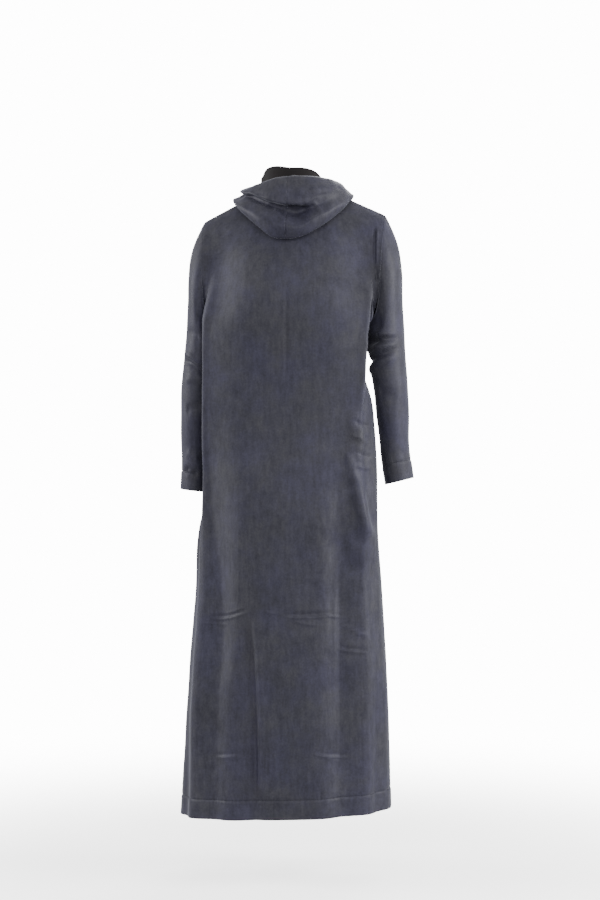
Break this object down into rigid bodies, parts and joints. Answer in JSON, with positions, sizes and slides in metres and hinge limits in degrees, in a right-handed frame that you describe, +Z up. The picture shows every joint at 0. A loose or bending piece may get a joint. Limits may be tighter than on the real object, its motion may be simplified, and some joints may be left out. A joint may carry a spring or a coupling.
{
  "type": "thobe robe",
  "caption": "Hooded thobe robe in its worn shape: a long straight pullover robe with long sleeves, a standing neckband and a hood lying down on the back.",
  "frame": {"origin": "the middle of the neck's base at the height of the shoulders, where the wearer holds the robe up", "axes": "+Z up through the neck, the front faces -Y, the wearer's left is +X"},
  "size_m": [0.5395, 0.3154, 1.4682],
  "materials": {
    "robe_cloth": "soft satin sheen",
    "neckband_cloth": "matt"
  },
  "bodies": {
    "root": {"back_panel": "robe_cloth", "front_panel": "robe_cloth", "sleeve_left": "robe_cloth", "sleeve_right": "robe_cloth", "hood_left": "robe_cloth", "hood_right": "robe_cloth", "neckband": "neckband_cloth"}
  },
  "joints": []
}
